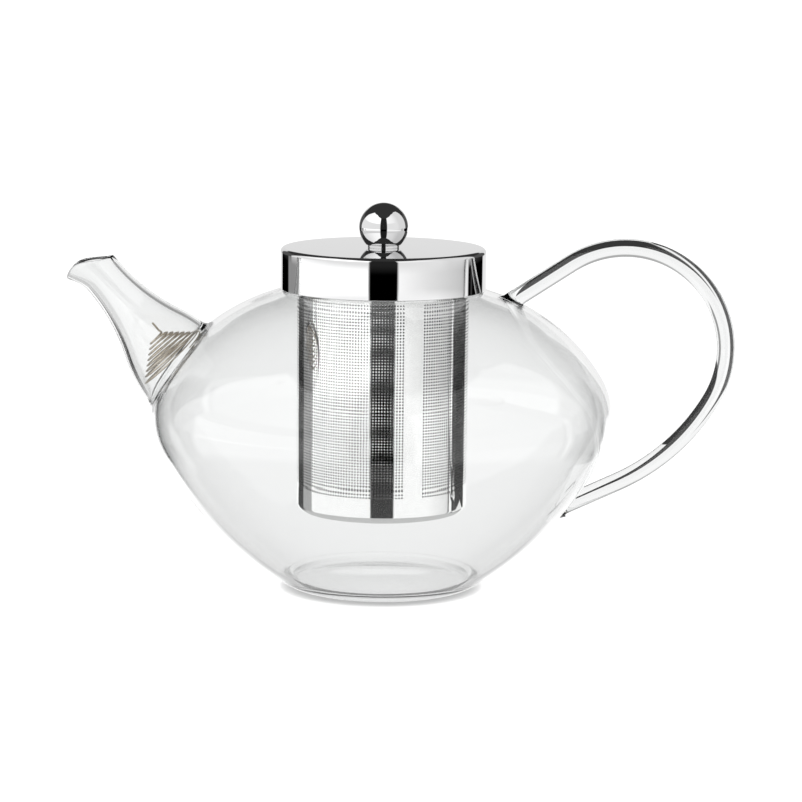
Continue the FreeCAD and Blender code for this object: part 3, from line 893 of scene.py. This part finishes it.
def relief(tree, texture, shader, depth):
    """Bump the surface by noise of this depth in metres."""
    bump = tree.nodes.new("ShaderNodeBump")
    bump.inputs["Distance"].default_value = depth
    tree.links.new(texture.outputs["Fac"], bump.inputs["Height"])
    tree.links.new(bump.outputs["Normal"], shader.inputs["Normal"])


def clear_glass():
    """Fire-polished borosilicate, with the faint waviness of blown glass."""
    material, tree, shader = surface("clear_glass", Transmission_Weight=1.0, IOR=1.47, Roughness=0.0)
    tint(tree, noise(tree, 12.0), shader.inputs["Base Color"], (0.985, 0.992, 0.99), (0.995, 0.998, 0.997))
    relief(tree, noise(tree, 45.0, 1.0), shader, 0.00006)
    return material


def polished_steel():
    """Mirror-polished stainless steel with a trace of polishing haze."""
    material, tree, shader = surface("polished_steel", Metallic=1.0)
    haze = noise(tree, 220.0, 4.0)
    tint(tree, haze, shader.inputs["Base Color"], (0.74, 0.74, 0.745), (0.77, 0.77, 0.77))
    between(tree, haze, shader.inputs["Roughness"], 0.015, 0.03)
    return material


def etched_steel():
    """Thin bright sheet, rolled into a tube and so slightly wavy."""
    material, tree, shader = surface("etched_steel", Metallic=1.0)
    grain = noise(tree, 500.0, 3.0)
    tint(tree, grain, shader.inputs["Base Color"], (0.86, 0.86, 0.855), (0.92, 0.92, 0.915))
    between(tree, grain, shader.inputs["Roughness"], 0.03, 0.07)
    relief(tree, noise(tree, 28.0, 1.0), shader, 0.0004)
    return material


def painted_shade_inside():
    """The same sheet's inner face and the walls of its holes, painted dark grey: painted shade for the dim
    inside of the infuser.
    """
    material, tree, shader = surface("painted_shade_inside", Metallic=1.0)
    grain = noise(tree, 700.0, 3.0)
    # painted shade: a base colour far darker than the outer side's
    tint(tree, grain, shader.inputs["Base Color"], (0.14, 0.14, 0.137), (0.2, 0.2, 0.197))
    between(tree, grain, shader.inputs["Roughness"], 0.25, 0.4)
    return material


def plain_steel():
    """Stainless steel as rolled, for the parts under the lid."""
    material, tree, shader = surface("plain_steel", Metallic=1.0)
    grain = noise(tree, 900.0, 5.0)
    tint(tree, grain, shader.inputs["Base Color"], (0.6, 0.6, 0.6), (0.68, 0.68, 0.68))
    between(tree, grain, shader.inputs["Roughness"], 0.16, 0.28)
    return material


def spring_wire():
    """Drawn stainless wire with the straw colour that heat leaves on it."""
    material, tree, shader = surface("spring_wire", Metallic=1.0)
    stain = noise(tree, 120.0, 3.0)
    tint(tree, stain, shader.inputs["Base Color"], (0.34, 0.26, 0.16), (0.82, 0.78, 0.7))
    between(tree, stain, shader.inputs["Roughness"], 0.05, 0.14)
    return material


def soft_silicone():
    """Translucent white silicone, slightly mottled."""
    material, tree, shader = surface("silicone", Roughness=0.45, Subsurface_Weight=0.4)
    shader.inputs["Subsurface Scale"].default_value = 0.001
    mottle = noise(tree, 300.0, 3.0)
    tint(tree, mottle, shader.inputs["Base Color"], (0.8, 0.8, 0.78), (0.88, 0.88, 0.87))
    relief(tree, mottle, shader, 0.00002)
    return material


def white_acrylic(name, white, shaded, open_glow):
    """Matt white acrylic, lit from below, its glow dimmed by ambient occlusion close under what stands on
    it: a painted contact shadow.
    """
    material, tree, shader = surface(name, Roughness=0.9, Specular_IOR_Level=0.1)
    cloud = noise(tree, 6.0)
    tint(tree, cloud, shader.inputs["Base Color"], (white, white, white), (white * 1.02,) * 3)
    tint(tree, cloud, shader.inputs["Emission Color"], (0.99, 0.99, 0.99), (1.0, 1.0, 1.0))
    # painted contact shadow: the emission drops from open_glow to shaded where ambient occlusion finds
    # something close above
    painted_contact_shadow = tree.nodes.new("ShaderNodeAmbientOcclusion")
    painted_contact_shadow.inputs["Distance"].default_value = CONTACT_SHADOW
    glow_with_painted_shadow = choose(tree, painted_contact_shadow.outputs["AO"], shaded, open_glow)
    tree.links.new(glow_with_painted_shadow, shader.inputs["Emission Strength"])
    return material


# ---------------------------------------------------------------- studio


def stage_sheet(name, corners, height, material):
    """A level sheet that steel doesn't mirror."""
    mesh = bpy.data.meshes.new(name)
    mesh.from_pydata([(x, y, height) for x, y in corners], [], [tuple(range(len(corners)))])
    mesh.materials.append(material)
    sheet = bpy.data.objects.new(name, mesh)
    bpy.context.scene.collection.objects.link(sheet)
    sheet.visible_glossy = False
    return sheet


def studio_floor():
    """A wide white table, and a white card behind the handle's lower end that shows only through glass."""
    lit = white_acrylic("table_white", white=0.1, shaded=0.4, open_glow=1.0)
    table = stage_sheet("table", TABLE, TABLE_HEIGHT, lit)
    table.visible_transmission = False
    even = white_acrylic("card_white", white=0.02, shaded=BACKDROP, open_glow=BACKDROP)
    card = stage_sheet("white_card", WHITE_CARD, CARD_HEIGHT, even)
    card.visible_camera = False
    card.visible_diffuse = False
    card.visible_shadow = False


def math_node(tree, operation, first, second=None):
    """A math node on sockets or numbers."""
    node = tree.nodes.new("ShaderNodeMath")
    node.operation = operation
    for number, value in enumerate((first, second)):
        if isinstance(value, bpy.types.NodeSocket):
            tree.links.new(value, node.inputs[number])
        elif value is not None:
            node.inputs[number].default_value = value
    return node.outputs[0]


def clamped(tree, value):
    """A value held between 0 and 1."""
    clamp = tree.nodes.new("ShaderNodeClamp")
    tree.links.new(value, clamp.inputs["Value"])
    return clamp.outputs["Result"]


def choose(tree, share, one, other):
    """One value, or the other as the share goes from 0 to 1."""
    mix = tree.nodes.new("ShaderNodeMix")
    for label, value in (("Factor", share), ("A", one), ("B", other)):
        if isinstance(value, bpy.types.NodeSocket):
            tree.links.new(value, mix.inputs[label])
        else:
            mix.inputs[label].default_value = value
    return mix.outputs["Result"]


def round_the_pot(tree, around, stops, highest):
    """A value that changes with azimuth, from (degrees, value) stops."""
    ramp = tree.nodes.new("ShaderNodeValToRGB")
    marks = ramp.color_ramp.elements
    marks.remove(marks[-1])
    for number, (angle, value) in enumerate(stops):
        mark = marks[0] if number == 0 else marks.new(angle / 360 + 0.5)
        mark.position = angle / 360 + 0.5
        mark.color = (value / highest, value / highest, value / highest, 1.0)
    tree.links.new(around, ramp.inputs["Fac"])
    return math_node(tree, "MULTIPLY", ramp.outputs["Color"], highest)


def risen(tree, value, start, fade=1.0):
    """How far a value has risen past its start: 0 to 1 over the fade."""
    return clamped(tree, math_node(tree, "DIVIDE", math_node(tree, "SUBTRACT", value, start), fade))


def sunk(tree, value, start, fade=1.0):
    """How far a value has sunk below its start: 0 to 1 over the fade."""
    return clamped(tree, math_node(tree, "DIVIDE", math_node(tree, "SUBTRACT", start, value), fade))


def mirrored_studio(tree, around, sideways, height, in_glass):
    """Softboxes and dark gaps, as steel and the faces of the glass mirror them."""
    low = round_the_pot(tree, around, LOW_SURROUND, BRIGHTEST)
    high = round_the_pot(tree, around, HIGH_SURROUND, BRIGHTEST)
    tops = round_the_pot(tree, around, LIGHT_TOPS, HIGHEST_TOP)
    gain, limit = BRIGHTENING
    brightened = math_node(tree, "MINIMUM", math_node(tree, "MULTIPLY", low, gain), limit)
    low = choose(tree, sunk(tree, height, BRIGHT_BELOW), low, brightened)
    low = choose(tree, sunk(tree, height, GREY_BELOW, GREY_FADE), low, GREY)
    high = choose(tree, sunk(tree, height, tops), OVERHEAD, high)
    dark, light = EVENED_RANGE
    darkest = math_node(tree, "MULTIPLY", risen(tree, sideways, FRONT_GAP), dark)
    even = math_node(tree, "MAXIMUM", math_node(tree, "MINIMUM", high, light), darkest)
    high = choose(tree, sunk(tree, height, EVEN_BELOW, EVEN_FADE), high, even)
    high = choose(tree, in_glass, high, choose(tree, GLASS_CONTRAST, SEEN_IN_GLASS, high))
    horizon = choose(tree, in_glass, HORIZON, HORIZON_IN_GLASS)
    return choose(tree, risen(tree, height, horizon), low, high)


def bent_studio(tree, around, height, past_bowl):
    """A pale backdrop with dark gaps and a dark floor, as seen through clear glass alone."""
    off_middle = math_node(tree, "ABSOLUTE", math_node(tree, "SUBTRACT", height, GAP_MIDDLE))
    gap = math_node(tree, "MULTIPLY", sunk(tree, off_middle, GAP_REACH),
                    round_the_pot(tree, around, GAPS_BEHIND, 1.0))
    gap = math_node(tree, "MULTIPLY", gap, choose(tree, past_bowl, 1.0, SEEN_THROUGH_BOWL))
    behind = choose(tree, gap, BACKDROP, DARK)
    behind = choose(tree, risen(tree, height, CEILING_FROM, CEILING_FADE), behind, CEILING)
    low_gap = math_node(tree, "MULTIPLY", sunk(tree, height, LOW_GAP_BELOW),
                        round_the_pot(tree, around, LOW_GAP, 1.0))
    floor_gap = sunk(tree, height, FLOOR_GAP_BELOW, FLOOR_GAP_FADE)
    low_gap = math_node(tree, "MAXIMUM", low_gap, floor_gap)
    softened = math_node(tree, "MULTIPLY", floor_gap, SEEN_THROUGH_BOWL)
    return choose(tree, choose(tree, past_bowl, low_gap, softened), behind, DARK)


def studio_world():
    """The studio as it is mirrored or seen through glass, and plain white for all other rays."""
    world = bpy.data.worlds.new("studio")
    bpy.context.scene.world = world
    world.use_nodes = True
    tree = world.node_tree
    place = tree.nodes.new("ShaderNodeTexCoord")
    split = tree.nodes.new("ShaderNodeSeparateXYZ")
    tree.links.new(place.outputs["Generated"], split.inputs["Vector"])
    towards = math_node(tree, "MULTIPLY", split.outputs["Y"], -1.0)
    azimuth = math_node(tree, "ARCTAN2", split.outputs["X"], towards)
    around = math_node(tree, "ADD", math_node(tree, "DIVIDE", azimuth, 2 * math.pi), 0.5)
    sideways = math_node(tree, "ABSOLUTE", math_node(tree, "MULTIPLY", azimuth, 180 / math.pi))
    height = math_node(tree, "MULTIPLY", math_node(tree, "ARCSINE", split.outputs["Z"]), 180 / math.pi)
    rays = tree.nodes.new("ShaderNodeLightPath")
    in_glass = clamped(tree, rays.outputs["Transmission Depth"])
    past_bowl = risen(tree, rays.outputs["Transmission Depth"], BOWL_CROSSED)
    mirrored = mirrored_studio(tree, around, sideways, height, in_glass)
    bent = bent_studio(tree, around, height, past_bowl)
    patterned = choose(tree, clamped(tree, rays.outputs["Glossy Depth"]), bent, mirrored)
    scattered = clamped(tree, rays.outputs["Diffuse Depth"])
    plain = math_node(tree, "MAXIMUM", rays.outputs["Is Camera Ray"], scattered)
    light = choose(tree, plain, patterned, PLAIN_LIGHT)
    tree.links.new(light, tree.nodes["Background"].inputs["Color"])


def camera():
    """A long lens 1.2 m in front of the pot, a little above it, tilted down and very slightly rolled."""
    data = bpy.data.cameras.new("camera")
    data.sensor_width = CAMERA_SENSOR
    data.lens = CAMERA_LENS
    data.clip_end = 100.0
    eye = bpy.data.objects.new("camera", data)
    bpy.context.scene.collection.objects.link(eye)
    eye.location = CAMERA_PLACE
    tilt = Matrix.Rotation(math.radians(90 - CAMERA_TILT), 4, "X")
    roll = Matrix.Rotation(math.radians(CAMERA_ROLL), 4, "Z")
    eye.rotation_euler = (tilt @ roll).to_euler()
    bpy.context.scene.camera = eye


def light_paths():
    """Enough bounces for rays to get through every layer of glass."""
    scene = bpy.context.scene
    scene.cycles.max_bounces = GLASS_BOUNCES
    scene.cycles.transmission_bounces = GLASS_BOUNCES
    scene.cycles.glossy_bounces = MIRROR_BOUNCES
    scene.view_settings.view_transform = "Standard"


def build():
    """Every piece of the teapot, with its materials."""
    glass_vessel(clear_glass())
    wire_strainer(spring_wire())
    infuser(etched_steel(), painted_shade_inside())
    polished, plain = polished_steel(), plain_steel()
    lid(polished, plain)
    seal(soft_silicone())
    knob(polished, plain)


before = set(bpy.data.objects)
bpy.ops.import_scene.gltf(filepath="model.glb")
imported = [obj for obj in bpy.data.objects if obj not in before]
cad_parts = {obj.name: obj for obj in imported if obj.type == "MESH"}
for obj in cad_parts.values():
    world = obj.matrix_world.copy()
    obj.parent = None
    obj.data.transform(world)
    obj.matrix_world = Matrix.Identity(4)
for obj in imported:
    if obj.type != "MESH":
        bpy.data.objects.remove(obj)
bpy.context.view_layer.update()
build()
studio_floor()
studio_world()
camera()
light_paths()
